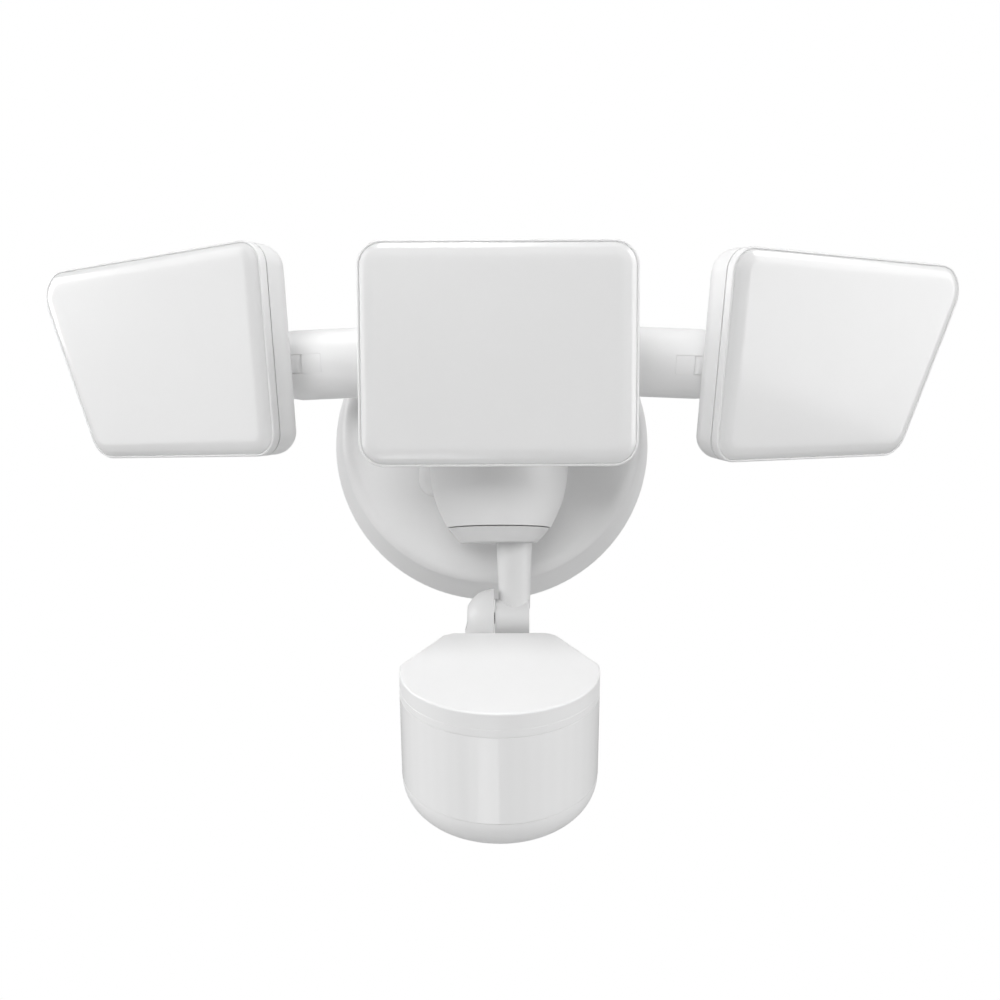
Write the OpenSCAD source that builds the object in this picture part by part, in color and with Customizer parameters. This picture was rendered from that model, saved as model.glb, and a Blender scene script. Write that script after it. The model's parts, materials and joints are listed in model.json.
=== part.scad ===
/* [Canopy] */
// Diameter of the canopy at the wall
canopy_d = 132; // [128:1:140]
// Diameter of the canopy's front face before its rounded rim
canopy_front_d = 118; // [116:1:122]
// Distance from the wall to the canopy's front face
canopy_depth = 38.6; // [36:0.1:42]
// Height of the straight band next to the wall
canopy_band = 8; // [5:0.5:10]
// Radius of the canopy's front rim
canopy_round = 6; // [4:0.5:8]
// Thickness of the canopy's wall
canopy_wall = 2.5; // [2:0.1:2.8]
// Width of the raised pad that carries the hub
pad_w = 55.2; // [52:0.2:56]
// Height of the raised pad
pad_h = 51; // [48:0.5:54]
// Thickness of the raised pad
pad_t = 4; // [3:0.1:4.4]
// Thickness of the gasket between canopy and wall
gasket_t = 1.5; // [1:0.1:2.5]
// Width of the gasket ring
gasket_w = 6; // [4:0.5:8]

/* [Bracket] */
// Distance between the two slots' centres
slot_spacing = 88.9; // [82:0.1:92]
// End-to-end length of one slot
slot_length = 12; // [9:0.5:13]
// Width of one slot
slot_w = 5; // [4.5:0.1:5.5]
// Length of the bracket strap
strap_length = 110; // [108:1:114]
// Width of the bracket strap
strap_w = 18; // [16:1:22]
// Thickness of the bracket strap
strap_t = 2; // [1.5:0.1:2.5]
// Distance between the two canopy studs
stud_spacing = 66; // [65:0.5:67]
// Diameter of a canopy stud
stud_d = 4; // [4:0.1:4.6]

/* [Hub] */
// Distance from the canopy's front face to the hub's upright axis
hub_stand = 19; // [19:0.1:21.4]
// Sideways distance from the canopy's centre to the hub's axis
hub_x = 2.9; // [0:0.1:3.2]
// Diameter of the hub's upright body
hub_d = 49.6; // [49:0.2:51]
// Diameter at the foot of the hub's bowl
bowl_foot_d = 36.8; // [35:0.2:36.8]
// Height of the bowl's foot below the origin
bowl_foot_z = 38.8; // [38:0.2:41]
// Height below the origin where the bowl begins to curve in
bowl_top_z = 16; // [14:0.5:17]
// Height of the hub's upper edge above the origin
hub_top_z = 40; // [39.5:0.5:43]
// Thickness of the hub's wall
hub_wall = 2.5; // [2:0.1:2.6]

/* [Side arms] */
// Height of the arms' axis above the origin, at the hub
arm_z = 23.8; // [23:0.2:24.5]
// Diameter of an arm
arm_d = 25.1; // [24.5:0.1:25.6]
// Droop of each arm, outward
arm_droop = 2.5; // [1:0.5:4]
// Distance along the arm from the hub's axis to the head's hinge
arm_length = 76.3; // [73:0.1:80]
// Diameter of the arm's spigot in the hub
spigot_d = 16; // [15:0.5:16.5]
// Rest tilt of the left head about its arm
left_tilt = 12.5; // [0:0.5:20]
// Rest turn of the left head, outward
left_turn = 26.8; // [20:0.1:34]
// Rest tilt of the right head about its arm
right_tilt = 17.5; // [0:0.5:20]
// Rest turn of the right head, outward
right_turn = 24.8; // [20:0.1:34]

/* [Lamp heads] */
// Height of a side head
side_h = 68.8; // [66:0.1:72]
// Length of a side head's upper edge
side_top = 108.6; // [104:0.1:114]
// Length of a side head's lower edge
side_bottom = 84.9; // [82:0.1:90]
// Distance from a side head's inner edge to its hinge
side_hinge_u = 18.8; // [17:0.1:20]
// Height of a side head's middle above its hinge
side_rise = 4; // [2:0.5:6]
// Radius of a side head's inner corners
inner_corner_r = 8; // [7.5:0.5:10]
// Radius of a side head's outer corners
outer_corner_r = 10.5; // [9:0.5:12]
// Width of the centre head
center_w = 83.4; // [80:0.2:86]
// Height of the centre head
center_h = 66.6; // [65:0.1:68]
// Corner radius of the centre head
center_corner_r = 7.6; // [7.2:0.2:9]
// Rest tilt of the centre head
center_tilt = 8.3; // [4:0.1:10]
// Depth of a head from its cover to its back
head_depth = 17; // [16.6:0.1:18]
// Thickness of a housing's side wall
head_wall = 2.2; // [1.8:0.1:2.4]
// Radius of a housing's back edges
back_round = 7; // [5:0.5:7]
// Depth of the cover's rim
cover_rim = 4.5; // [4:0.1:5]
// Thickness of the cover
cover_t = 2; // [1.8:0.1:2.2]
// Width of the bevel around the cover
bevel_w = 4.5; // [3.5:0.1:5]
// Depth of the bevel around the cover
bevel_h = 1.8; // [1.2:0.1:2]

/* [Sensor] */
// Depth of the sensor from its round front to its flat back
sensor_depth = 57; // [53:0.5:59]
// Depth that the flat back cuts off the sensor's round body
sensor_back_cut = 5; // [4.6:0.1:6.6]
// Width of the sensor's flat back
sensor_back_w = 35.9; // [32:0.1:41]
// Height of the sensor's body
sensor_h = 45.8; // [44:0.1:52]
// Radius of the sensor's lower edge
sensor_round = 11.2; // [9:0.1:13]
// Rest tilt of the sensor, its front down
sensor_tilt = 18.2; // [0:0.1:30]
// Height of the sensor's pivot below the origin
pivot_z = 70.8; // [70:0.1:74]
// Distance from the pivot down to the sensor's top face
sensor_drop = 1.4; // [1:0.1:4]
// Radius of the sensor's round knuckle
knuckle_r = 10.35; // [9.9:0.05:10.8]
// Diameter of the tube that hangs from the hub, at its top
tube_d = 12.9; // [12.4:0.1:13.2]
// Diameter of the tube at the pivot
tube_end_d = 10.6; // [10:0.1:11.4]
// Diameter of the turning collar's lower face
collar_d = 29.6; // [28:0.2:31]
// Height of the turning collar
collar_h = 5.1; // [4.5:0.1:6]

/* [Hidden] */
$fn = 64;

// Amount by which a cut runs past a face
overrun = 1;
// Gap between faces of two bodies that turn on each other
face_gap = 0.3;
// Radial clearance of a pin in the bore that turns on it
running_fit = 0.05;
// Gap on each side of a tongue in its fork
fork_gap = 0.1;
// Number of steps round one corner of an inner outline
arc_steps = 8;

// Canopy and bracket
canopy_r = canopy_d / 2;
canopy_front_r = canopy_front_d / 2;
pad_front = canopy_depth + pad_t;
pad_corner_r = 6;
pad_round = 3;
gasket_inset = 0.5;
stud_x = stud_spacing / 2;
stud_clearance = 0.2;
stud_hole_r = stud_d / 2 + stud_clearance;
cap_nut_r = 4.1;
cap_nut_h = 3.5;
cap_dome_r = 3.2;
strap_wire_r = 6.5;
ground_x = 19;
ground_shank_r = 1.8;
ground_head_r = 3.4;
ground_head_h = 2.2;
driver_size = [62, 18, 24];
driver_z = 18;
terminal_size = [40, 14, 12];
terminal_z = -34;
wire_hole_r = 6;
grommet_bore_r = 3.6;
grommet_flange_r = 8.5;
grommet_flange_h = 1.5;
hub_screw_z = 13;
hub_screw_r = 1.5;
hub_screw_head_r = 2.8;
hub_screw_head_h = 2.2;
hub_screw_clear_r = 1.6;

// Hub
hub_y = canopy_depth + hub_stand;
hub_r = hub_d / 2;
bowl_drop = bowl_foot_z - bowl_top_z;
bowl_inset = hub_r - bowl_foot_d / 2;
bowl_arc_r = (bowl_drop * bowl_drop + bowl_inset * bowl_inset) / (2 * bowl_inset);
hub_floor_t = 3;
hub_back_t = 2.5;
cap_h = 4;
cap_round = 3;
cap_rim_h = 3;
cap_rim_gap = 0.1;
cap_rim_t = 1.8;
boss_r = 13;
boss_inner_x = 19;
boss_outer_x = 31;
arm_nut_h = 4;
arm_nut_r = 10.8;
arm_bore_r = 4.5;
ear_r = 6;
ear_inner_x = 3.6;
ear_outer_x = 8;
center_hinge_back = 26;
center_hinge_gap = 5.9;
center_hinge_reach = hub_r + center_hinge_gap;
center_hinge_z = 13.1;
center_pin_r = 2;
center_head_r = 3.5;
center_head_h = 2.2;
center_nut_r = 4;
center_nut_h = 3;
center_tongue_r = 5;

// Arm ends and head hinges
arm_r = arm_d / 2;
spigot_r = spigot_d / 2;
spigot_end_x = 14;
hinge_back = 33.5;
hinge_pin_r = 2;
fork_slot_h = 6.4;
fork_floor = 14;
cheek_face = 9;
hinge_head_r = 3.5;
hinge_head_h = 2.4;
hinge_head_pocket_r = 3.7;
hinge_nut_r = 4;
hinge_nut_h = 2.6;
hinge_nut_pocket_r = 4.2;
tongue_r = 9;
tongue_w = 14;

// Lamp heads
seal_t = 0.4;
seal_outer_inset = 0.6;
seal_inner_inset = 2;
skirt_inset = 2.5;
skirt_t = 1;
skirt_end = 7;
sink_floor = 10.4;
board_t = 1.6;
board_inset = 6;
led_w = 3.5;
led_h = 2.8;
led_t = 0.8;
led_step = 12.4;
led_row_step = 14;
led_columns = 6;
led_rows = 4;
led_first = 12;
fin_t = 1.6;
fin_h = 5;
fin_step = 8;
fin_pairs = 3;
fin_start = 17;
fin_margin = 12;
center_fin_start = 12;

// Sensor
sensor_r = (sensor_depth + sensor_back_cut) / 2;
sensor_mid_y = sensor_r - knuckle_r - sensor_depth;
sensor_back_y = sensor_depth - sensor_r;
// How far one of the two slanting sides runs inward per length run back, and its length per length run back
side_slope = (sensor_r - sensor_back_w / 2) / sensor_back_y;
side_stretch = norm([1, side_slope]);
sensor_wall = 2.2;
lid_h = 5.7;
lid_round = 0.6;
lid_roof = 3;
window_z = 34.1;
window_back = -1.4;
lens_proud = 0.5;
lens_t = 1.8;
lens_gap = 0.15;
tube_x = 5.4;
tube_drum_r = 6.8;
tube_drum_end = 10.35;
tube_bore_start = 5;
knuckle_x = 1.8;
knuckle_end = 22;
knuckle_foot_top = 6;
pivot_gap = 0.3;
pivot_nut_inset = 1;
pivot_pin_r = 2;
pivot_recess = 3;
pivot_head_r = 3.6;
pivot_nut_r = 4;
pivot_pocket_r = 4.2;
pivot_pocket_h = 6;
tube_bore_r = 3.2;
collar_step = 0.3;
collar_pin_r = 8;
collar_nut_r = 12;
collar_nut_h = 3.5;
collar_round = 1.2;
collar_face_r = bowl_foot_d / 2 - collar_step;
sensor_board_w = 37;
sensor_board_y = 6;
pir_r = 4.6;
pir_h = 4.5;
pir_drop = 20;
dial_r = 4.5;
dial_flange_r = 6;
dial_flange_h = 1.2;
dial_edge_gap = 0.8;
dial_angle = 33.7;
dial_reach = sensor_r - sensor_round - dial_flange_r - dial_edge_gap;
dial_x = dial_reach * cos(dial_angle);
dial_y = -dial_reach * sin(dial_angle);
dial_slot_w = 1.2;
dial_slot_h = 1.3;
dial_slot_l = 6;

white = "WhiteSmoke";
steel = "Silver";
rubber_black = "DimGray";

// Outlines with rounded corners, listed anticlockwise from the lower inner corner
side_left_u = -side_hinge_u;
side_outline = [
    [side_left_u, side_rise - side_h / 2],
    [side_left_u + side_bottom, side_rise - side_h / 2],
    [side_left_u + side_top, side_rise + side_h / 2],
    [side_left_u, side_rise + side_h / 2]
];
side_radii = [inner_corner_r, outer_corner_r, outer_corner_r, inner_corner_r];
center_outline = [
    [-center_w / 2, -center_h / 2],
    [center_w / 2, -center_h / 2],
    [center_w / 2, center_h / 2],
    [-center_w / 2, center_h / 2]
];
center_radii = [center_corner_r, center_corner_r, center_corner_r, center_corner_r];

function unit(v) = v / norm(v);
function before(p, i) = p[(i + len(p) - 1) % len(p)];
function after(p, i) = p[(i + 1) % len(p)];
function half_angle(p, i) = acos(unit(before(p, i) - p[i]) * unit(after(p, i) - p[i])) / 2;
function bisector(p, i) = unit(unit(before(p, i) - p[i]) + unit(after(p, i) - p[i]));
function corner_centre(p, r, i) = p[i] + bisector(p, i) * r[i] / sin(half_angle(p, i));
function edge_run(p, i) = unit(after(p, i) - p[i]);
function edge_normal(p, i) = [edge_run(p, i)[1], -edge_run(p, i)[0]];
function edge_start(p, r, i) = corner_centre(p, r, i) + edge_normal(p, i) * r[i];
function edge_end(p, r, i) =
    corner_centre(p, r, (i + 1) % len(p)) + edge_normal(p, i) * r[(i + 1) % len(p)];
function joined(list) = [for (row = list) for (item = row) item];
function arc_angle(p, i, step) =
    atan2(edge_normal(p, i)[1], edge_normal(p, i)[0]) - (180 - 2 * half_angle(p, i)) * (1 - step / arc_steps);
function outline_points(p, r, inset) = joined([
    for (i = [0:len(p) - 1]) [
        for (step = [0:arc_steps])
            corner_centre(p, r, i)
                + (r[i] - inset) * [cos(arc_angle(p, i, step)), sin(arc_angle(p, i, step))]
    ]
]);

// Inner outlines take their corners in short straight steps
module outline(p, r, inset) {
    polygon(outline_points(p, r, inset));
}

// Half section of a slab from its middle out to one edge, whose lower corner is a quarter round
module round_section(back, r, height, round) {
    difference() {
        translate([-back, 0]) square([back + r, height]);
        difference() {
            translate([r - round, -round]) square([2 * round, 2 * round]);
            translate([r - round, round]) circle(r = round);
        }
    }
}

// Half section of a slab whose lower corner is a sloping bevel
module bevel_section(back, r, height, width, depth) {
    polygon([[-back, 0], [r - width, 0], [r, depth], [r, height], [-back, height]]);
}

module along_edge(p, r, i, inset) {
    translate(edge_end(p, r, i) - edge_normal(p, i) * inset)
        rotate([0, 0, atan2(edge_normal(p, i)[1], edge_normal(p, i)[0])])
            rotate([90, 0, 0])
                linear_extrude(height = norm(edge_end(p, r, i) - edge_start(p, r, i))) children();
}

module slab_core(p, r, height) {
    linear_extrude(height = height) polygon([for (i = [0:len(p) - 1]) corner_centre(p, r, i)]);
}

module round_slab(p, r, height, round) {
    slab_core(p, r, height);
    for (i = [0:len(p) - 1]) {
        along_edge(p, r, i, round) round_section(max(r), round, height, round);
    }
    for (i = [0:len(p) - 1]) {
        translate(corner_centre(p, r, i)) rotate_extrude() round_section(0, r[i], height, round);
    }
}

module bevel_slab(p, r, height, width, depth) {
    slab_core(p, r, height);
    for (i = [0:len(p) - 1]) {
        along_edge(p, r, i, width) bevel_section(max(r), width, height, width, depth);
    }
    for (i = [0:len(p) - 1]) {
        translate(corner_centre(p, r, i)) rotate_extrude()
            bevel_section(0, r[i], height, width, depth);
    }
}

// Frames: each carries its piece from its own axes to its rest place

module along_wall_axis() {
    rotate([90, 0, 0]) children();
}

module hub_frame() {
    translate([hub_x, -hub_y, 0]) children();
}

// The arms' frames and the centre head's frame stand in the hub's frame
module arm_frame(tilt) {
    translate([0, 0, arm_z]) rotate([0, arm_droop, 0]) rotate([tilt, 0, 0]) children();
}

module head_frame(tilt, turn) {
    arm_frame(tilt) translate([arm_length, 0, 0]) rotate([0, 0, turn]) children();
}

module center_hinge_place() {
    hub_frame() translate([0, -center_hinge_reach, center_hinge_z]) children();
}

module center_frame() {
    center_hinge_place() rotate([center_tilt, 0, 0]) children();
}

// Depth runs from the cover's face, at zero, towards the back
module face_frame(back) {
    translate([0, -back, 0]) rotate([90, 0, 0]) mirror([0, 0, 1]) children();
}

module left_arm_place() {
    hub_frame() mirror([1, 0, 0]) arm_frame(left_tilt) children();
}

module right_arm_place() {
    hub_frame() arm_frame(right_tilt) children();
}

module left_head_place() {
    hub_frame() mirror([1, 0, 0]) head_frame(left_tilt, left_turn) children();
}

module right_head_place() {
    hub_frame() head_frame(right_tilt, right_turn) children();
}

module pivot_frame() {
    hub_frame() translate([0, 0, -pivot_z]) children();
}

module sensor_frame() {
    pivot_frame() rotate([sensor_tilt, 0, 0]) children();
}

module sensor_centre() {
    sensor_frame() translate([0, sensor_mid_y, -sensor_drop]) children();
}

// Canopy, bracket and what they hold

module canopy_section(inset, back) {
    polygon([
        [0, back],
        [canopy_r - inset, back],
        [canopy_r - inset, canopy_band],
        [canopy_front_r - inset, canopy_depth - canopy_round],
        [canopy_front_r - canopy_round, canopy_depth - canopy_round],
        [canopy_front_r - canopy_round, canopy_depth - inset],
        [0, canopy_depth - inset]
    ]);
    translate([canopy_front_r - canopy_round, canopy_depth - canopy_round])
        circle(r = canopy_round - inset);
}

module wall_gasket() {
    color(rubber_black)
    along_wall_axis() difference() {
        cylinder(r = canopy_r - gasket_inset, h = gasket_t);
        translate([0, 0, -overrun])
            cylinder(r = canopy_r - gasket_inset - gasket_w, h = gasket_t + 2 * overrun);
    }
}

module strap_slot() {
    slot_r = slot_w / 2;
    half_run = slot_length / 2 - slot_r;
    for (x = [-half_run, half_run]) {
        translate([x, 0, -overrun]) cylinder(r = slot_r, h = strap_t + 2 * overrun);
    }
    translate([-half_run, -slot_r, -overrun]) cube([2 * half_run, slot_w, strap_t + 2 * overrun]);
}

module mounting_strap() {
    color(steel)
    along_wall_axis() difference() {
        translate([-strap_length / 2, -strap_w / 2, 0]) cube([strap_length, strap_w, strap_t]);
        for (x = [-slot_spacing / 2, slot_spacing / 2]) {
            translate([x, 0, 0]) strap_slot();
        }
        for (x = [-stud_x, stud_x]) {
            translate([x, 0, -overrun]) cylinder(r = stud_d / 2, h = strap_t + 2 * overrun);
        }
        translate([0, 0, -overrun]) cylinder(r = strap_wire_r, h = strap_t + 2 * overrun);
        translate([ground_x, 0, -overrun]) cylinder(r = ground_shank_r, h = strap_t + 2 * overrun);
    }
}

module ground_screw() {
    color("DarkGreen")
    along_wall_axis() translate([ground_x, 0, 0]) difference() {
        union() {
            cylinder(r = ground_shank_r, h = strap_t + ground_head_h / 2);
            translate([0, 0, strap_t]) cylinder(r = ground_head_r, h = ground_head_h);
        }
        translate([-ground_head_r, -dial_slot_w / 2, strap_t + ground_head_h / 2])
            cube([2 * ground_head_r, dial_slot_w, ground_head_h]);
    }
}

module stud(x) {
    color(steel)
    along_wall_axis() translate([x, 0, 0])
        cylinder(r = stud_d / 2, h = canopy_depth + cap_nut_h);
}

module left_stud() {
    stud(-stud_x);
}

module right_stud() {
    stud(stud_x);
}

module hub_fixing_holes(from, depth) {
    translate([hub_x, 0, from - overrun]) {
        cylinder(r = wire_hole_r, h = depth + 2 * overrun);
        for (y = [-hub_screw_z, hub_screw_z]) {
            translate([0, y, 0]) cylinder(r = hub_screw_clear_r, h = depth + 2 * overrun);
        }
    }
}

module canopy() {
    color(white)
    along_wall_axis() difference() {
        rotate_extrude() canopy_section(0, gasket_t);
        rotate_extrude() canopy_section(canopy_wall, gasket_t - overrun);
        hub_fixing_holes(canopy_depth - canopy_wall, canopy_wall);
        for (x = [-stud_x, stud_x]) {
            translate([x, 0, 0]) cylinder(r = stud_hole_r, h = canopy_depth + overrun);
        }
    }
}

module hub_pad() {
    pad_outline = [
        [-pad_w / 2, -pad_h / 2],
        [pad_w / 2, -pad_h / 2],
        [pad_w / 2, pad_h / 2],
        [-pad_w / 2, pad_h / 2]
    ];
    color(white)
    along_wall_axis() difference() {
        translate([0, 0, pad_front]) mirror([0, 0, 1])
            round_slab(pad_outline, [for (i = [0:3]) pad_corner_r], pad_t, pad_round);
        hub_fixing_holes(canopy_depth, pad_t);
    }
}

module cap_nut(x) {
    color(steel)
    along_wall_axis() translate([x, 0, canopy_depth]) difference() {
        union() {
            cylinder(r = cap_nut_r, h = cap_nut_h, $fn = 6);
            translate([0, 0, cap_nut_h]) intersection() {
                sphere(r = cap_dome_r);
                cylinder(r = cap_dome_r, h = cap_dome_r);
            }
        }
        translate([0, 0, -overrun]) cylinder(r = stud_d / 2, h = cap_nut_h + overrun);
    }
}

module left_cap_nut() {
    cap_nut(-stud_x);
}

module right_cap_nut() {
    cap_nut(stud_x);
}

module led_driver() {
    color("DarkSlateGray")
    translate([-driver_size[0] / 2, canopy_wall - canopy_depth, driver_z]) cube(driver_size);
}

module terminal_block() {
    color("Ivory")
    translate([-terminal_size[0] / 2, canopy_wall - canopy_depth, terminal_z]) cube(terminal_size);
}

module wire_grommet() {
    sleeve = canopy_wall + pad_t + hub_back_t;
    color(rubber_black)
    along_wall_axis() translate([hub_x, 0, canopy_depth - canopy_wall]) difference() {
        union() {
            translate([0, 0, -grommet_flange_h]) cylinder(r = grommet_flange_r, h = grommet_flange_h);
            cylinder(r = wire_hole_r, h = sleeve);
        }
        translate([0, 0, -grommet_flange_h - overrun])
            cylinder(r = grommet_bore_r, h = sleeve + grommet_flange_h + 2 * overrun);
    }
}

// Hub: an upright round body that stands on the canopy's front face

module hub_section(inset) {
    translate([0, -bowl_top_z]) square([hub_r - inset, bowl_top_z + hub_top_z]);
    intersection() {
        translate([0, -bowl_foot_z]) square([hub_r - inset, bowl_drop]);
        translate([hub_r - bowl_arc_r, -bowl_top_z]) circle(r = bowl_arc_r - inset);
    }
}

// Everything at or behind the pad's front face, seen from the hub's own frame
module behind_pad() {
    translate([-hub_d, hub_y - pad_front, -2 * hub_d]) cube([2 * hub_d, hub_d, 4 * hub_d]);
}

module ears() {
    for (side = [0, 1]) {
        mirror([side, 0, 0]) translate([ear_inner_x, -center_hinge_reach, center_hinge_z])
            rotate([0, 90, 0]) {
                cylinder(r = ear_r, h = ear_outer_x - ear_inner_x);
                translate([-ear_r, 0, 0])
                    cube([2 * ear_r, center_hinge_gap + hub_wall, ear_outer_x - ear_inner_x]);
            }
    }
}

module hub_boss() {
    arm_frame(0) translate([boss_inner_x, 0, 0]) rotate([0, 90, 0])
        cylinder(r = boss_r, h = boss_outer_x - boss_inner_x);
}

module hub_boss_bore() {
    arm_frame(0) translate([boss_inner_x - overrun, 0, 0]) rotate([0, 90, 0])
        cylinder(r = spigot_r + running_fit, h = boss_outer_x - boss_inner_x + 2 * overrun);
}

module hub_cavity() {
    intersection() {
        rotate_extrude() {
            hub_section(hub_wall);
            translate([0, hub_top_z - overrun]) square([hub_r - hub_wall, 2 * overrun]);
        }
        translate([-hub_d, hub_y - pad_front - hub_back_t - 2 * hub_d, hub_floor_t - bowl_foot_z])
            cube([2 * hub_d, 2 * hub_d, 2 * hub_d]);
    }
}

module hub_housing() {
    color(white)
    hub_frame() difference() {
        union() {
            difference() {
                rotate_extrude() hub_section(0);
                hub_cavity();
                behind_pad();
            }
            hub_boss();
            mirror([1, 0, 0]) hub_boss();
            ears();
        }
        hub_boss_bore();
        mirror([1, 0, 0]) hub_boss_bore();
        translate([0, -center_hinge_reach, center_hinge_z]) rotate([0, 90, 0])
            cylinder(r = center_pin_r, h = 4 * ear_outer_x, center = true);
        translate([0, hub_y - pad_front - hub_back_t - overrun, 0]) rotate([-90, 0, 0]) {
            cylinder(r = wire_hole_r, h = hub_back_t + 2 * overrun);
            for (y = [-hub_screw_z, hub_screw_z]) {
                translate([0, y, 0]) cylinder(r = hub_screw_r, h = hub_back_t + 2 * overrun);
            }
        }
        translate([0, 0, -bowl_foot_z - overrun])
            cylinder(r = collar_pin_r + running_fit, h = hub_floor_t + 2 * overrun);
    }
}

module hub_cap() {
    cap_rim_r = hub_r - hub_wall - cap_rim_gap;
    color(white)
    hub_frame() difference() {
        union() {
            translate([0, 0, hub_top_z + cap_h]) mirror([0, 0, 1])
                rotate_extrude() round_section(0, hub_r, cap_h, cap_round);
            translate([0, 0, hub_top_z - cap_rim_h]) cylinder(r = cap_rim_r, h = cap_rim_h + overrun);
        }
        translate([0, 0, hub_top_z - cap_rim_h - overrun])
            cylinder(r = cap_rim_r - cap_rim_t, h = cap_rim_h + overrun);
        translate([0, -hub_back_t - cap_rim_gap, 0]) behind_pad_below(hub_top_z);
        behind_pad();
    }
}

// The part of the space behind the hub's back wall that lies below a height
module behind_pad_below(z) {
    intersection() {
        behind_pad();
        translate([-hub_d, -hub_d, z - 2 * hub_d]) cube([2 * hub_d, 4 * hub_d, 2 * hub_d]);
    }
}

module hub_screw(y) {
    color(steel)
    along_wall_axis() translate([hub_x, y, canopy_depth - canopy_wall]) {
        translate([0, 0, -hub_screw_head_h]) cylinder(r = hub_screw_head_r, h = hub_screw_head_h);
        cylinder(r = hub_screw_r, h = canopy_wall + pad_t + hub_back_t);
    }
}

module upper_hub_screw() {
    hub_screw(hub_screw_z);
}

module lower_hub_screw() {
    hub_screw(-hub_screw_z);
}

// Arm: spigot, tube and a forked round end that carries a head's hinge

module arm() {
    difference() {
        union() {
            translate([spigot_end_x, 0, 0]) rotate([0, 90, 0])
                cylinder(r = spigot_r, h = boss_outer_x + face_gap - spigot_end_x + overrun);
            translate([boss_outer_x + face_gap, 0, 0]) rotate([0, 90, 0])
                cylinder(r = arm_r, h = arm_length - boss_outer_x - face_gap);
            translate([arm_length, 0, 0]) sphere(r = arm_r);
        }
        translate([spigot_end_x - overrun, 0, 0]) rotate([0, 90, 0])
            cylinder(r = arm_bore_r, h = arm_length - fork_floor - spigot_end_x + 2 * overrun);
        translate([arm_length - fork_floor, -arm_d, -fork_slot_h / 2])
            cube([fork_floor + arm_d, 2 * arm_d, fork_slot_h]);
        translate([arm_length, 0, 0]) {
            cylinder(r = hinge_pin_r, h = 2 * arm_d, center = true);
            translate([0, 0, cheek_face]) cylinder(r = hinge_head_pocket_r, h = arm_r);
            translate([0, 0, -cheek_face - arm_r]) cylinder(r = hinge_nut_pocket_r, h = arm_r);
        }
    }
}

module arm_nut() {
    translate([boss_inner_x - face_gap - arm_nut_h, 0, 0]) rotate([0, 90, 0]) difference() {
        cylinder(r = arm_nut_r, h = arm_nut_h, $fn = 6);
        translate([0, 0, -overrun]) cylinder(r = spigot_r, h = arm_nut_h + 2 * overrun);
    }
}

module hinge_screw() {
    translate([arm_length, 0, 0]) {
        translate([0, 0, -cheek_face - hinge_nut_h])
            cylinder(r = hinge_pin_r, h = 2 * cheek_face + hinge_nut_h + hinge_head_h / 2);
        translate([0, 0, cheek_face]) difference() {
            cylinder(r = hinge_head_r, h = hinge_head_h);
            translate([0, 0, hinge_head_h / 2]) cylinder(r = hinge_pin_r, h = hinge_head_h, $fn = 6);
        }
    }
}

module hinge_nut() {
    translate([arm_length, 0, -cheek_face - hinge_nut_h]) difference() {
        cylinder(r = hinge_nut_r, h = hinge_nut_h, $fn = 6);
        translate([0, 0, -overrun]) cylinder(r = hinge_pin_r, h = hinge_nut_h + 2 * overrun);
    }
}

// Lamp head: tray with a thick finned back, seal, bevelled cover, board and its light chips

module tray(p, r) {
    difference() {
        translate([0, 0, head_depth]) mirror([0, 0, 1])
            round_slab(p, r, head_depth - cover_rim - seal_t + overrun, back_round);
        translate([-side_top, -side_h, cover_rim + seal_t - 2 * overrun])
            cube([2 * side_top, 2 * side_h, 2 * overrun]);
        translate([0, 0, cover_rim + seal_t - overrun])
            linear_extrude(height = sink_floor - cover_rim - seal_t + overrun) outline(p, r, head_wall);
    }
}

module fin(x0, x1, y) {
    translate([x0, y - fin_t / 2, head_depth - fin_t]) cube([x1 - x0, fin_t, fin_h + fin_t]);
}

module seal_ring(p, r) {
    translate([0, 0, cover_rim]) linear_extrude(height = seal_t) difference() {
        outline(p, r, seal_outer_inset);
        outline(p, r, seal_inner_inset);
    }
}

module cover(p, r) {
    difference() {
        bevel_slab(p, r, cover_rim, bevel_w, bevel_h);
        translate([0, 0, cover_t]) linear_extrude(height = cover_rim) outline(p, r, head_wall);
    }
    translate([0, 0, cover_t - overrun / 2])
        linear_extrude(height = skirt_end - cover_t + overrun / 2) difference() {
            outline(p, r, skirt_inset);
            outline(p, r, skirt_inset + skirt_t);
        }
}

module led_board(p, r) {
    translate([0, 0, sink_floor - board_t]) linear_extrude(height = board_t) outline(p, r, board_inset);
}

module leds(x0, y0) {
    for (column = [0:led_columns - 1], row = [0:led_rows - 1]) {
        translate([x0 + column * led_step, y0 + row * led_row_step, sink_floor - board_t - led_t])
            translate([-led_w / 2, -led_h / 2, 0]) cube([led_w, led_h, led_t]);
    }
}

function slant_x(y) = side_left_u + side_bottom
    + (side_top - side_bottom) * (y - side_rise + side_h / 2) / side_h;

module side_housing() {
    difference() {
        union() {
            face_frame(hinge_back) tray(side_outline, side_radii);
            face_frame(hinge_back) for (i = [-fin_pairs:fin_pairs]) {
                fin(fin_start, slant_x(side_rise + i * fin_step) - fin_margin, side_rise + i * fin_step);
            }
            translate([0, 0, fork_gap - fork_slot_h / 2]) {
                cylinder(r = tongue_r, h = fork_slot_h - 2 * fork_gap);
                translate([-tongue_w / 2, head_depth - hinge_back - fin_t, 0])
                    cube([tongue_w, hinge_back - head_depth + fin_t, fork_slot_h - 2 * fork_gap]);
            }
        }
        cylinder(r = hinge_pin_r + running_fit, h = 2 * fork_slot_h, center = true);
    }
}

module side_leds() {
    face_frame(hinge_back)
        leds(side_left_u + led_first, side_rise - led_row_step * (led_rows - 1) / 2);
}

module left_arm() {
    color(white) left_arm_place() arm();
}

module left_arm_nut() {
    color(steel) left_arm_place() arm_nut();
}

module left_hinge_screw() {
    color(steel) left_arm_place() hinge_screw();
}

module left_hinge_nut() {
    color(steel) left_arm_place() hinge_nut();
}

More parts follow.
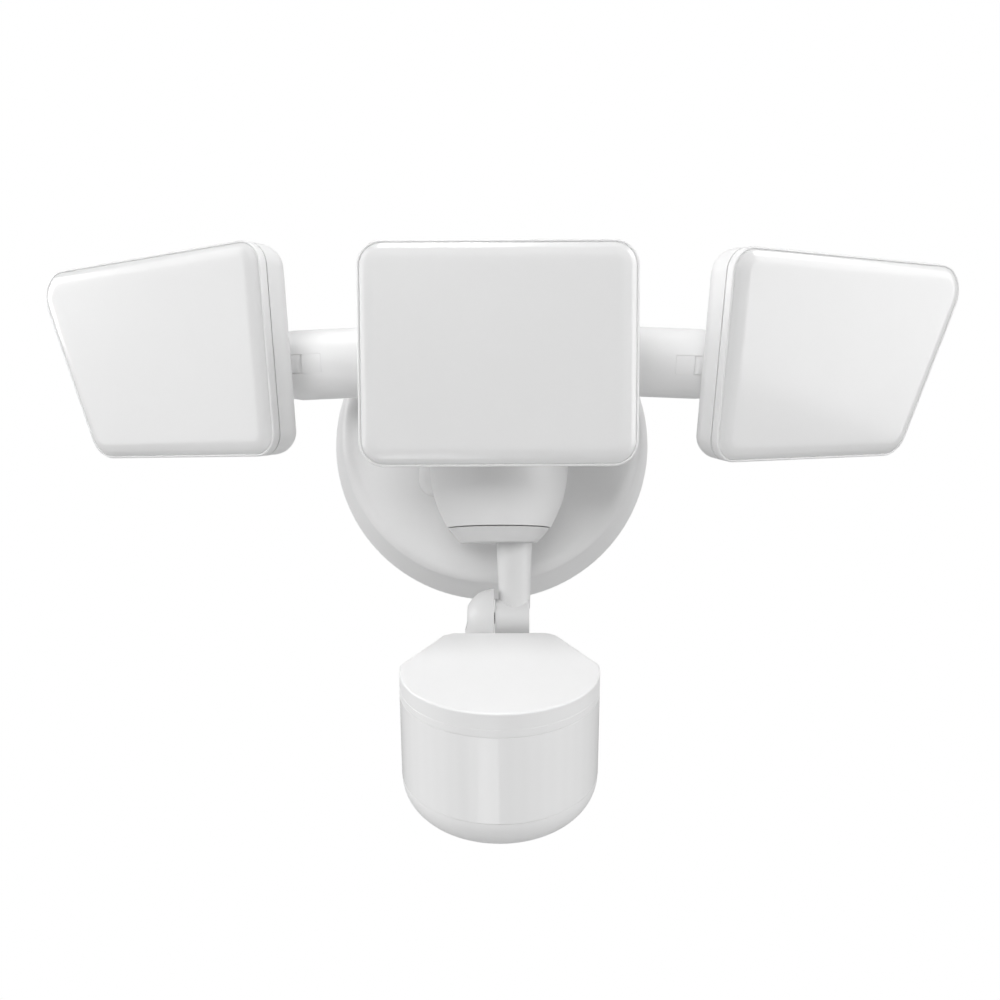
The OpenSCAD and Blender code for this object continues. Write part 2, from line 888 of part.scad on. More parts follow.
module left_housing() {
    color(white) left_head_place() side_housing();
}

module left_seal() {
    color(rubber_black) left_head_place() face_frame(hinge_back) seal_ring(side_outline, side_radii);
}

module left_cover() {
    color("GhostWhite") left_head_place() face_frame(hinge_back) cover(side_outline, side_radii);
}

module left_led_board() {
    color("Gainsboro") left_head_place() face_frame(hinge_back) led_board(side_outline, side_radii);
}

module left_leds() {
    color("Khaki") left_head_place() side_leds();
}

module right_arm() {
    color(white) right_arm_place() arm();
}

module right_arm_nut() {
    color(steel) right_arm_place() arm_nut();
}

module right_hinge_screw() {
    color(steel) right_arm_place() hinge_screw();
}

module right_hinge_nut() {
    color(steel) right_arm_place() hinge_nut();
}

module right_housing() {
    color(white) right_head_place() side_housing();
}

module right_seal() {
    color(rubber_black) right_head_place() face_frame(hinge_back) seal_ring(side_outline, side_radii);
}

module right_cover() {
    color("GhostWhite") right_head_place() face_frame(hinge_back) cover(side_outline, side_radii);
}

module right_led_board() {
    color("Gainsboro") right_head_place() face_frame(hinge_back) led_board(side_outline, side_radii);
}

module right_leds() {
    color("Khaki") right_head_place() side_leds();
}

// Centre head on the hub's two ears

module center_hinge_screw() {
    color(steel)
    center_hinge_place() rotate([0, 90, 0]) {
        translate([0, 0, -ear_outer_x - center_nut_h])
            cylinder(r = center_pin_r, h = 2 * ear_outer_x + center_nut_h + center_head_h / 2);
        translate([0, 0, ear_outer_x]) difference() {
            cylinder(r = center_head_r, h = center_head_h);
            translate([0, 0, center_head_h / 2]) cylinder(r = center_pin_r, h = center_head_h, $fn = 6);
        }
    }
}

module center_hinge_nut() {
    color(steel)
    center_hinge_place() translate([-ear_outer_x - center_nut_h, 0, 0]) rotate([0, 90, 0]) difference() {
        cylinder(r = center_nut_r, h = center_nut_h, $fn = 6);
        translate([0, 0, -overrun]) cylinder(r = center_pin_r, h = center_nut_h + 2 * overrun);
    }
}

module center_housing() {
    tongue_half = ear_inner_x - fork_gap;
    color(white)
    center_frame() difference() {
        union() {
            face_frame(center_hinge_back) tray(center_outline, center_radii);
            face_frame(center_hinge_back) for (i = [-fin_pairs:fin_pairs], side = [0, 1]) {
                mirror([side, 0, 0]) fin(center_fin_start, center_w / 2 - fin_margin, i * fin_step);
            }
            rotate([0, 90, 0]) cylinder(r = center_tongue_r, h = 2 * tongue_half, center = true);
            translate([-tongue_half, head_depth - center_hinge_back - fin_t, -center_tongue_r])
                cube([2 * tongue_half, center_hinge_back - head_depth + fin_t, 2 * center_tongue_r]);
        }
        rotate([0, 90, 0])
            cylinder(r = center_pin_r + running_fit, h = 4 * tongue_half, center = true);
    }
}

module center_seal() {
    color(rubber_black)
    center_frame() face_frame(center_hinge_back) seal_ring(center_outline, center_radii);
}

module center_cover() {
    color("GhostWhite")
    center_frame() face_frame(center_hinge_back) cover(center_outline, center_radii);
}

module center_led_board() {
    color("Gainsboro")
    center_frame() face_frame(center_hinge_back) led_board(center_outline, center_radii);
}

module center_leds() {
    color("Khaki")
    center_frame() face_frame(center_hinge_back)
        leds(-led_step * (led_columns - 1) / 2, -led_row_step * (led_rows - 1) / 2);
}

// Sensor: turning collar and tube, pivot, stalk and round body with a wrap-around lens

module sensor_tube() {
    tube_run = pivot_z - bowl_foot_z - face_gap - collar_h / 2;
    color(white)
    hub_frame() difference() {
        union() {
            translate([0, 0, -bowl_foot_z - face_gap - collar_h])
                cylinder(r1 = collar_d / 2 - collar_round, r2 = collar_d / 2, h = collar_round);
            translate([0, 0, -bowl_foot_z - face_gap - collar_h + collar_round])
                cylinder(r1 = collar_d / 2, r2 = collar_face_r, h = collar_h - collar_round);
            translate([0, 0, -bowl_foot_z - face_gap - overrun])
                cylinder(r = collar_pin_r, h = face_gap + overrun + hub_floor_t + collar_nut_h + face_gap);
            translate([tube_x, 0, -pivot_z]) cylinder(r1 = tube_end_d / 2, r2 = tube_d / 2, h = tube_run);
            translate([pivot_gap - knuckle_x, 0, -pivot_z]) rotate([0, 90, 0])
                cylinder(r = tube_drum_r, h = tube_drum_end + knuckle_x - pivot_gap);
        }
        translate([tube_x, 0, tube_bore_start - pivot_z])
            cylinder(r = tube_bore_r, h = tube_run - tube_bore_start + 2 * collar_h);
        translate([0, 0, -pivot_z]) rotate([0, 90, 0]) {
            translate([0, 0, -tube_d]) cylinder(r = pivot_pin_r, h = 2 * tube_d);
            translate([0, 0, tube_drum_end - pivot_recess])
                cylinder(r = pivot_head_r + fork_gap, h = tube_d);
        }
    }
}

module sensor_tube_nut() {
    color(steel)
    hub_frame() translate([0, 0, hub_floor_t + face_gap - bowl_foot_z]) difference() {
        cylinder(r = collar_nut_r, h = collar_nut_h, $fn = 6);
        translate([0, 0, -overrun]) cylinder(r = collar_pin_r, h = collar_nut_h + 2 * overrun);
    }
}

module pivot_screw() {
    color(steel)
    pivot_frame() rotate([0, 90, 0]) {
        translate([0, 0, pivot_nut_inset - knuckle_x - knuckle_r])
            cylinder(r = pivot_pin_r, h = knuckle_x + knuckle_r + tube_drum_end - pivot_nut_inset - pivot_recess);
        translate([0, 0, tube_drum_end - pivot_recess]) difference() {
            cylinder(r = pivot_head_r, h = pivot_recess - face_gap);
            translate([0, 0, pivot_recess / 2]) cylinder(r = pivot_pin_r, h = pivot_recess, $fn = 6);
        }
    }
}

module pivot_nut() {
    color(steel)
    pivot_frame() rotate([0, 90, 0])
        translate([0, 0, pivot_nut_inset - knuckle_x - knuckle_r]) difference() {
            cylinder(r = pivot_nut_r, h = pivot_pocket_h - pivot_nut_inset - face_gap, $fn = 6);
            translate([0, 0, -overrun]) cylinder(r = pivot_pin_r, h = pivot_pocket_h + 2 * overrun);
        }
}

// Everything on the sensor's side of the joint between its knuckle and the tube's drum
module beside_drum() {
    translate([-knuckle_x - 2 * knuckle_r, -2 * knuckle_r, -2 * knuckle_end])
        cube([2 * knuckle_r, 4 * knuckle_r, 4 * knuckle_end]);
}

module sensor_stalk() {
    color(white)
    sensor_frame() difference() {
        intersection() {
            translate([-knuckle_x, 0, 0]) {
                sphere(r = knuckle_r);
                translate([0, 0, -knuckle_end]) cylinder(r = knuckle_r, h = knuckle_end);
                translate([-knuckle_r, -knuckle_r, -knuckle_end])
                    cube([knuckle_r, knuckle_r, knuckle_end - knuckle_foot_top]);
            }
            beside_drum();
        }
        rotate([0, 90, 0]) {
            translate([0, 0, -2 * knuckle_r]) cylinder(r = pivot_pin_r + running_fit, h = 4 * knuckle_r);
            translate([0, 0, pivot_pocket_h - knuckle_x - 3 * knuckle_r])
                cylinder(r = pivot_pocket_r, h = 2 * knuckle_r);
        }
    }
}

// Space within the flat back and the two slanting sides that run to it from the widest place
function side_x(y, inset) = sensor_r - side_slope * y - inset * side_stretch;

module within_back(inset) {
    back_y = sensor_back_y - inset;
    translate([0, 0, -2 * sensor_h]) linear_extrude(height = 3 * sensor_h) polygon([
        [-side_x(-sensor_r, inset), -2 * sensor_r],
        [side_x(-sensor_r, inset), -2 * sensor_r],
        [side_x(-sensor_r, inset), -sensor_r],
        [side_x(back_y, inset), back_y],
        [-side_x(back_y, inset), back_y],
        [-side_x(-sensor_r, inset), -sensor_r]
    ]);
}

module sensor_top() {
    color(white)
    difference() {
        sensor_centre() intersection() {
            rotate_extrude() {
                translate([0, -lid_h]) square([sensor_r, lid_h - lid_round]);
                translate([0, -lid_h]) square([sensor_r - lid_round, lid_h]);
                translate([sensor_r - lid_round, -lid_round]) circle(r = lid_round);
            }
            within_back(0);
        }
        sensor_centre() intersection() {
            translate([0, 0, -lid_h - overrun])
                cylinder(r = sensor_r - sensor_wall, h = lid_h - lid_roof + overrun);
            within_back(sensor_wall);
        }
    }
}

module body_section(inset) {
    translate([0, sensor_round - sensor_h]) square([sensor_r - inset, sensor_h - sensor_round - lid_h]);
    translate([0, inset - sensor_h]) square([sensor_r - sensor_round, sensor_h - inset - lid_h]);
    translate([sensor_r - sensor_round, sensor_round - sensor_h]) circle(r = sensor_round - inset);
}

module sensor_body() {
    color(white)
    sensor_centre() difference() {
        intersection() {
            rotate_extrude() body_section(0);
            within_back(0);
        }
        intersection() {
            union() {
                rotate_extrude() body_section(sensor_wall);
                translate([0, 0, -lid_h - overrun]) cylinder(r = sensor_r - sensor_wall, h = 2 * overrun);
            }
            within_back(sensor_wall);
        }
        translate([-2 * sensor_r, -2 * sensor_r, -window_z])
            cube([4 * sensor_r, 2 * sensor_r + window_back, window_z]);
        for (x = [-dial_x, dial_x]) {
            translate([x, dial_y, -sensor_h - overrun])
                cylinder(r = dial_r + running_fit, h = sensor_wall + 2 * overrun);
        }
    }
}

module sensor_lens() {
    color("White")
    sensor_centre() intersection() {
        translate([0, 0, lens_gap - window_z]) difference() {
            cylinder(r = sensor_r + lens_proud, h = window_z - lid_h - 2 * lens_gap);
            translate([0, 0, -overrun])
                cylinder(r = sensor_r + lens_proud - lens_t, h = window_z);
        }
        translate([-2 * sensor_r, -2 * sensor_r, -window_z])
            cube([4 * sensor_r, 2 * sensor_r + window_back - lens_gap, window_z]);
    }
}

module sensor_board() {
    color("SeaGreen")
    sensor_centre() translate([-sensor_board_w / 2, sensor_board_y, sensor_wall - sensor_h])
        cube([sensor_board_w, board_t, sensor_h - sensor_wall - lid_h]);
}

module pir_element() {
    color("Gold")
    sensor_centre() translate([0, sensor_board_y, -pir_drop]) rotate([90, 0, 0])
        cylinder(r = pir_r, h = pir_h);
}

module dial(x) {
    color("SlateGray")
    sensor_centre() translate([x, dial_y, -sensor_h]) difference() {
        union() {
            cylinder(r = dial_r, h = sensor_wall + face_gap + dial_flange_h);
            translate([0, 0, sensor_wall + face_gap / 2]) cylinder(r = dial_flange_r, h = dial_flange_h);
        }
        translate([-dial_slot_l / 2, -dial_slot_w / 2, -overrun])
            cube([dial_slot_l, dial_slot_w, dial_slot_h + overrun]);
    }
}

module time_dial() {
    dial(-dial_x);
}

module range_dial() {
    dial(dial_x);
}

wall_gasket();
mounting_strap();
ground_screw();
left_stud();
right_stud();
canopy();
hub_pad();
left_cap_nut();
right_cap_nut();
led_driver();
terminal_block();
wire_grommet();
hub_housing();
hub_cap();
upper_hub_screw();
lower_hub_screw();
left_arm();
left_arm_nut();
left_hinge_screw();
left_hinge_nut();
left_housing();
left_seal();
left_cover();
left_led_board();
left_leds();
right_arm();
right_arm_nut();
right_hinge_screw();
right_hinge_nut();
right_housing();
right_seal();
right_cover();
right_led_board();
right_leds();
center_hinge_screw();
center_hinge_nut();
center_housing();
center_seal();
center_cover();
center_led_board();
center_leds();
sensor_tube();
sensor_tube_nut();
pivot_screw();
pivot_nut();
sensor_stalk();
sensor_top();
sensor_body();
sensor_lens();
sensor_board();
pir_element();
time_dial();
range_dial();
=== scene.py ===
import json
import math

import bmesh
import bpy
from mathutils import Matrix, Vector


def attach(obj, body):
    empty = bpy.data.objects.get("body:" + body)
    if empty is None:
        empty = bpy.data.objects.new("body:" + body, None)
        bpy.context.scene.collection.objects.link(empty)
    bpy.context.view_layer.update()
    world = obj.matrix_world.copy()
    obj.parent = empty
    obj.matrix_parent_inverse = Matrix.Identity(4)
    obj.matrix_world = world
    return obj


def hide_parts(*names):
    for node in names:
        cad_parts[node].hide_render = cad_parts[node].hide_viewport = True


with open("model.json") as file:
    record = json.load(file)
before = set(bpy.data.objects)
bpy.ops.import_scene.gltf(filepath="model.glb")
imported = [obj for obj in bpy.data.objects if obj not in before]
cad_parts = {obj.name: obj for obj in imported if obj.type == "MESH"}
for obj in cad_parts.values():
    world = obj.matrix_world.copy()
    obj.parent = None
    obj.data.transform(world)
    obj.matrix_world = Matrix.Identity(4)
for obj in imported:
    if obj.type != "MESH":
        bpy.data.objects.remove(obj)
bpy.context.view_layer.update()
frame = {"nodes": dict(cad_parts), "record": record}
NODES = frame["nodes"]
MM = 0.001

# Sizes and rest angles of the CAD source, in millimetres and degrees
HUB = (2.9, -57.6, 0.0)
CANOPY_INNER = 36.1
DRIVER_DEPTH = 18.0
TERMINAL_DEPTH = 14.0
ARM_Z = 23.8
ARM_DROOP = 2.5
ARM_LENGTH = 76.3
ARM_R = 12.55
TILT = {"left": 12.5, "right": 17.5}
TURN = {"left": 26.8, "right": 24.8}
FORK_SLOT_H = 6.4
HINGE_BACK = 33.5
SIDE_H = 68.8
SIDE_TOP = 108.6
SIDE_BOTTOM = 84.9
SIDE_HINGE_U = 18.8
SIDE_RISE = 4.0
SIDE_RADII = (8.0, 10.5, 10.5, 8.0)
CENTER_W = 83.4
CENTER_H = 66.6
CENTER_RADII = (7.6, 7.6, 7.6, 7.6)
CENTER_TILT = 8.3
CENTER_HINGE = (0.0, -30.7, 13.1)
CENTER_HINGE_BACK = 26.0
PIVOT_Z = 70.8
SENSOR_TILT = 18.2
SENSOR_R = 31.0
SENSOR_MID_Y = -36.35
SENSOR_DROP = 1.4
WINDOW_Z = 34.1
LENS_T = 1.8

# Sizes of the pieces made here, in millimetres and degrees
WINDOW_START = -86.8
WINDOW_SWEEP = 173.6
LENS_PROUD = 0.06
LENS_LOW_GAP = 0.05
LENS_TOP_GAP = 0.01
LENS_SOFT = 0.08
SKIRT_TOP = 4.9
SKIRT_LOW = 7.3
SKIRT_SOFT = 0.02
SURFACE_GAP = 0.03
EYE_REACH = 13.85
EYE_BORE = 4.5
EYE_SLOT_GAP = 0.06
FLOOR_CLEAR = 0.1
FLOOR_OVERLAP = 0.05
FORK_BACK = 14.6
FORK_TIP = 7.5
DRIVER_LID_T = 0.9
SINK = 0.2
DRIVER_BACK = -CANOPY_INNER + DRIVER_DEPTH
TERMINAL_BACK = -CANOPY_INNER + TERMINAL_DEPTH

# Steps of the round forms, in numbers
CORNER_STEPS = 10
PLATE_CORNER_STEPS = 6
WINDOW_STEPS = 120
EYE_STEPS = 160
SLOT_HALF_ROWS = 4
FLOOR_HALF_STEPS = 12
SCREW_STEPS = 32
SCREW_HALF_STEPS = 16

# Angles in degrees from which a piece's edges stay hard
COVER_HARD = 50
ROUND_HARD = 40
DETAIL_HARD = 35

# Where the middle of a soft edge's bend lies, the distance under which points become one, and the
# least sine that anything is divided by
BEND_SHARE = 0.3
WELD_METRES = 1e-6
LEAST_SINE = 0.01

# Sections of a frosted cover and of the lip round it: inset from the outline, depth behind the
# cover's face. The cover goes from its rim over the rounded edge, the sloping border and the soft
# crease to the flat panel. The lip stands outside the fine groove that parts it from the cover.
COVER_PROFILE = (
    (2.2, 2.0), (2.2, 4.5), (0.82, 4.5), (0.82, 1.86), (0.9, 1.77), (1.0, 1.66), (1.14, 1.53),
    (1.36, 1.38), (1.8, 1.08), (2.3, 0.78), (2.7, 0.6), (3.4, 0.38), (4.1, 0.2), (4.7, 0.07),
    (5.3, 0.0), (6.3, 0.0),
)
LIP_PROFILE = (
    (0.8, 4.5), (0.8, 1.88), (0.74, 1.76), (0.62, 1.67), (0.42, 1.64), (0.2, 1.72), (0.06, 1.9),
    (0.0, 2.15), (0.0, 4.5),
)

# The camera's place in millimetres and its turns in degrees, fitted to the photograph
CAMERA_PLACE = (2.88, -343.54, -54.82)
CAMERA_YAW = -0.08
CAMERA_PITCH = 5.2
CAMERA_ROLL = 0.23
CAMERA_LENS = 28.8
CAMERA_SENSOR = 36.0
CAMERA_NEAR = 0.01
CAMERA_FAR = 50.0

# The world's strength before and behind the light, and the y of the directions between them
WORLD_FRONT = 0.38
WORLD_BACK = 0.66
WORLD_FRONT_Y = -0.3
WORLD_BACK_Y = 0.5

# The floor, in metres
FLOOR_R = 8.0
FLOOR_Z = -1.6
FLOOR_STEPS = 96

# Where the lamps point, in metres
MIDDLE = (0, -0.06, 0)
LENS_FACE = (0.003, -0.12, -0.095)
COVER_TOP = (-0.115, -0.09, 0.04)

# The parts of a noise's range that are spread over the whole of a look
MOST = (0.3, 0.7)
WIDER = (0.25, 0.75)


# Frames


def point(x, y, z):
    return Vector((x * MM, y * MM, z * MM))


def turn(axis, degrees):
    return Matrix.Rotation(math.radians(degrees), 4, axis)


def move(x, y, z):
    return Matrix.Translation(point(x, y, z))


def face_frame(back):
    """The frame of a head's face: x along the head, y up, z from the cover's face to the back."""
    return move(0, -back, 0) @ turn("X", 90) @ Matrix.Diagonal((1, 1, -1, 1))


def arm_frame(side):
    flip = Matrix.Diagonal((-1 if side == "left" else 1, 1, 1, 1))
    return move(*HUB) @ flip @ move(0, 0, ARM_Z) @ turn("Y", ARM_DROOP) @ turn("X", TILT[side])


def fork_frame(side):
    return arm_frame(side) @ move(ARM_LENGTH, 0, 0)


def side_face(side):
    return fork_frame(side) @ turn("Z", TURN[side]) @ face_frame(HINGE_BACK)


CENTER_FACE = (
    move(*HUB) @ move(*CENTER_HINGE) @ turn("X", CENTER_TILT) @ face_frame(CENTER_HINGE_BACK)
)
SENSOR_FRAME = (
    move(*HUB) @ move(0, 0, -PIVOT_Z) @ turn("X", SENSOR_TILT)
    @ move(0, SENSOR_MID_Y, -SENSOR_DROP)
)


# Materials


class Nodes:
    """A short way to write the nodes of a material or of the world."""

    def __init__(self, owner):
        owner.use_nodes = True
        self.owner = owner
        self.tree = owner.node_tree
        self.shader = self.tree.nodes.get("Principled BSDF")

    def add(self, kind, **values):
        node = self.tree.nodes.new(kind)
        for key, value in values.items():
            if hasattr(node, key):
                setattr(node, key, value)
            else:
                node.inputs[key.replace("_", " ")].default_value = value
        return node

    def join(self, a, b):
        self.tree.links.new(a, b)

    def set(self, **values):
        for key, value in values.items():
            self.shader.inputs[key.replace("_", " ")].default_value = value

    def place(self, **mapping):
        """The place on the object, moved, turned or stretched by a mapping where one is given."""
        place = self.add("ShaderNodeTexCoord").outputs["Object"]
        if not mapping:
            return place
        node = self.add("ShaderNodeMapping", **mapping)
        self.join(place, node.inputs["Vector"])
        return node.outputs["Vector"]

    def noise(self, scale, detail=3.0, rough=0.5, place=None):
        node = self.add("ShaderNodeTexNoise", Scale=scale, Detail=detail, Roughness=rough)
        self.join(place or self.place(), node.inputs["Vector"])
        return node.outputs["Fac"]

    def span(self, value, low, high, a=0.0, b=1.0, curve="LINEAR"):
        node = self.add("ShaderNodeMapRange", interpolation_type=curve)
        ends = (("From Min", low), ("From Max", high), ("To Min", a), ("To Max", b))
        for key, number in ends:
            node.inputs[key].default_value = number
        self.join(value, node.inputs["Value"])
        return node.outputs["Result"]

    def compute(self, kind, a, b):
        node = self.add("ShaderNodeMath", operation=kind)
        for socket, value in zip(node.inputs, (a, b)):
            if isinstance(value, (int, float)):
                socket.default_value = value
            else:
                self.join(value, socket)
        return node.outputs[0]

    def tone(self, share, a, b):
        """The base colour goes from a to b with the share."""
        node = self.add("ShaderNodeMix", data_type="RGBA")
        self.join(share, node.inputs[0])
        node.inputs[6].default_value = a
        node.inputs[7].default_value = b
        self.join(node.outputs[2], self.shader.inputs["Base Color"])

    def gloss(self, noise, low, high, part=MOST):
        """The roughness goes from low to high with the noise."""
        self.join(self.span(noise, *part, low, high), self.shader.inputs["Roughness"])

    def relief(self, height, strength, distance, edge=0.0):
        bump = self.add("ShaderNodeBump", Strength=strength, Distance=distance)
        self.join(height, bump.inputs["Height"])
        if edge:
            bevel = self.add("ShaderNodeBevel", samples=6, Radius=edge)
            self.join(bevel.outputs["Normal"], bump.inputs["Normal"])
        self.join(bump.outputs["Normal"], self.shader.inputs["Normal"])

    def seen(self, lit, shown, out):
        """The camera sees the shader shown, all other rays meet the shader lit."""
        path = self.add("ShaderNodeLightPath")
        mix = self.add("ShaderNodeMixShader")
        self.join(path.outputs["Is Camera Ray"], mix.inputs["Fac"])
        self.join(lit, mix.inputs[1])
        self.join(shown, mix.inputs[2])
        self.join(mix.outputs["Shader"], out)


def material_nodes(name):
    return Nodes(bpy.data.materials.new(name))


def grey(value):
    return (value, value, value, 1.0)


def scaled(tone, share):
    return tuple(x * share for x in tone) + (1.0,)


def coat(name, tone, rough, relief_scale, relief):
    """A smooth light coat or moulded plastic: cloudy tone, uneven gloss, relief, soft edges."""
    n = material_nodes(name)
    cloud_shade = 0.985
    n.set(IOR=1.46)
    cloud = n.noise(scale=38.0, detail=4.0, rough=0.55)
    n.tone(n.span(cloud, *MOST), grey(tone * cloud_shade), grey(tone))
    n.gloss(n.noise(scale=140.0, detail=5.0, rough=0.65), rough - 0.05, rough + 0.07, WIDER)
    speck = n.noise(relief_scale, detail=2.0, rough=0.6)
    n.relief(speck, strength=relief, distance=0.0001, edge=0.0004)
    return n.owner


def cover_material():
    """The covers' frosted plastic: milky, with a softly mirroring surface."""
    n = material_nodes("frosted_cover")
    n.set(IOR=1.49, Coat_Weight=0.7, Coat_Roughness=0.11, Coat_IOR=1.5)
    n.set(Subsurface_Weight=0.25, Subsurface_Scale=0.004, Subsurface_Radius=(1.0, 1.0, 1.0))
    n.tone(n.span(n.noise(scale=22.0), *MOST), grey(0.845), grey(0.86))
    n.gloss(n.noise(scale=900.0, detail=2.0), 0.3, 0.38)
    n.relief(n.noise(scale=2600.0, detail=1.0), strength=0.05, distance=0.00005)
    return n.owner


def lens_material():
    """The milky sensor lens: smooth outside, with upright facets inside, whose shimmer is painted
    as a faint tone ramp across each facet.
    """
    # Half a facet's angle in radians, and a shift that keeps the angle to fold above zero
    half_facet = 0.07
    above_zero = 10.0
    n = material_nodes("sensor_lens")
    n.set(IOR=1.5, Coat_Weight=0.7, Coat_Roughness=0.07, Coat_IOR=1.5)
    inverse = SENSOR_FRAME.inverted()
    split = n.add("ShaderNodeSeparateXYZ")
    place = n.place(Location=inverse.to_translation(), Rotation=inverse.to_euler())
    n.join(place, split.inputs["Vector"])
    front = n.compute("MULTIPLY", split.outputs["Y"], -1.0)
    angle = n.compute("ARCTAN2", split.outputs["X"], front)
    fold = n.compute("PINGPONG", n.compute("ADD", angle, above_zero), half_facet)
    facet = n.span(fold, 0.0, half_facet)
    # Painted shimmer: the tone rises and falls faintly across each facet, and the same ramp gives
    # the facets' relief
    n.tone(facet, grey(0.88), grey(0.89))
    n.gloss(n.noise(scale=500.0, detail=2.0), 0.4, 0.46)
    n.relief(facet, strength=0.03, distance=0.0001)
    return n.owner


def metal(name, tone, rough, stretch):
    """Plated or plain steel with drawn streaks and rubbed patches."""
    n = material_nodes(name)
    n.set(Metallic=1.0)
    streak = n.noise(scale=420.0, detail=4.0, rough=0.6, place=n.place(Scale=stretch))
    n.tone(n.span(n.noise(scale=90.0), *MOST), scaled(tone, 0.86), scaled(tone, 1.06))
    n.gloss(streak, rough - 0.08, rough + 0.12, WIDER)
    n.relief(streak, strength=0.12, distance=0.00005, edge=0.0003)
    return n.owner


def plain(name, tone, rough, scale, relief, spread=0.1):
    """Coloured plastic, rubber or board: mottled tone, uneven gloss, fine grain."""
    n = material_nodes(name)
    patch = n.noise(scale=60.0, detail=4.0, rough=0.6)
    n.tone(n.span(patch, *MOST), scaled(tone, 1 - spread), scaled(tone, 1 + spread))
    n.gloss(n.noise(scale=300.0), rough - 0.06, rough + 0.08)
    n.relief(n.noise(scale, detail=2.0), strength=relief, distance=0.0001, edge=0.0003)
    return n.owner


# The look of each material slot, and a darker coat as painted shade on the tube and stalk
LOOKS = {
    "white_coat": coat("white_coat", 0.88, 0.36, 1500.0, 0.06),
    "white_plastic": coat("white_plastic", 0.868, 0.36, 900.0, 0.05),
    "frosted_cover": cover_material(),
    "sensor_lens": lens_material(),
    "seal_rubber": plain("seal_rubber", (0.03, 0.03, 0.03), 0.65, 1800.0, 0.25),
    "steel_fixing": metal("steel_fixing", (0.66, 0.66, 0.67), 0.28, (1.0, 6.0, 1.0)),
    "zinc_plate": metal("zinc_plate", (0.6, 0.62, 0.63), 0.4, (0.3, 4.0, 4.0)),
    "green_screw": metal("green_screw", (0.1, 0.42, 0.16), 0.35, (1.0, 5.0, 1.0)),
    "light_board": plain("light_board", (0.82, 0.82, 0.79), 0.35, 1200.0, 0.05, spread=0.03),
    "light_chip": plain("light_chip", (0.85, 0.68, 0.2), 0.3, 3000.0, 0.1),
    "green_board": plain("green_board", (0.03, 0.2, 0.08), 0.3, 1600.0, 0.1),
    "detector_can": metal("detector_can", (0.75, 0.72, 0.62), 0.2, (1.0, 1.0, 1.0)),
    "dial_grey": plain("dial_grey", (0.12, 0.125, 0.135), 0.45, 1500.0, 0.2),
    "driver_case": plain("driver_case", (0.05, 0.055, 0.06), 0.5, 1300.0, 0.3),
    "terminal_ivory": plain(
        "terminal_ivory", (0.72, 0.68, 0.55), 0.42, 1400.0, 0.15, spread=0.04),
}
# Painted shade: the tube and stalk take a greyer coat for the centre head's shadow on them
SHADED_TUBE_COAT = coat("painted_shade_tube_coat", 0.76, 0.4, 900.0, 0.05)
SHADED_TUBE_NODES = ("sensor_tube", "sensor_stalk")


def paint_nodes():
    for part in frame["record"]["subparts"]:
        node = part["node"]
        mesh = NODES[node].data
        mesh.materials.clear()
        mesh.materials.append(SHADED_TUBE_COAT if node in SHADED_TUBE_NODES else LOOKS[part["material_slot"]])


# Mesh pieces


def rounded(points, radii, inset, steps=CORNER_STEPS):
    """The outline's points with round corners, moved inward by inset, anticlockwise."""
    ring = []
    count = len(points)
    for i in range(count):
        p = Vector(points[i])
        a = (Vector(points[i - 1]) - p).normalized()
        b = (Vector(points[(i + 1) % count]) - p).normalized()
        half = math.acos(max(-1.0, min(1.0, a.dot(b)))) / 2
        centre = p + (a + b).normalized() * radii[i] / math.sin(half)
        start = math.atan2(a.x, -a.y)
        sweep = math.pi - 2 * half
        for k in range(steps + 1):
            angle = start + sweep * k / steps
            ring.append(centre + Vector((math.cos(angle), math.sin(angle))) * (radii[i] - inset))
    return ring


def stack(rings, looped=False):
    """Faces between rings of equal length, filled at both ends or looped back to the first."""
    if looped:
        rings = rings + rings[:1]
    verts, faces = [], []
    count = len(rings[0])
    for ring in rings:
        verts += ring
    for r in range(len(rings) - 1):
        for i in range(count):
            j = (i + 1) % count
            near, far = r * count, (r + 1) * count
            faces.append((near + i, near + j, far + j, far + i))
    if not looped:
        faces.append(tuple(reversed(range(count))))
        faces.append(tuple(range((len(rings) - 1) * count, len(rings) * count)))
    return verts, faces


def piece(name, shape, slot, body, hard):
    """An object that rides on a body and has a slot's look, smooth but for its hard edges."""
    verts, faces = shape
    mesh = bpy.data.meshes.new(name)
    mesh.from_pydata([tuple(v) for v in verts], [], faces)
    mesh.validate()
    solid = bmesh.new()
    solid.from_mesh(mesh)
    bmesh.ops.remove_doubles(solid, verts=solid.verts, dist=WELD_METRES)
    bmesh.ops.recalc_face_normals(solid, faces=solid.faces)
    solid.to_mesh(mesh)
    solid.free()
    mesh.materials.append(LOOKS[slot])
    obj = bpy.data.objects.new(name, mesh)
    bpy.context.scene.collection.objects.link(obj)
    mesh.polygons.foreach_set("use_smooth", [True] * len(mesh.polygons))
    mesh.set_sharp_from_angle(angle=math.radians(hard))
    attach(obj, body)
    return obj


def outline_rings(points, radii, profile, place):
    return [
        [place @ point(p.x, p.y, depth) for p in rounded(points, radii, inset)]
        for inset, depth in profile
    ]


def frosted_cover(side, points, radii, place):
    """The frosted cover of a head, and the thin lip of the housing round it."""
    shell = stack(outline_rings(points, radii, COVER_PROFILE, place))
    cover = piece(f"{side}_cover_shell", shell, "frosted_cover", f"{side}_head", COVER_HARD)
    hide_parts(f"{side}_cover")
    lip = stack(outline_rings(points, radii, LIP_PROFILE, place), looped=True)
    piece(f"{side}_cover_lip", lip, "white_coat", f"{side}_head", COVER_HARD)


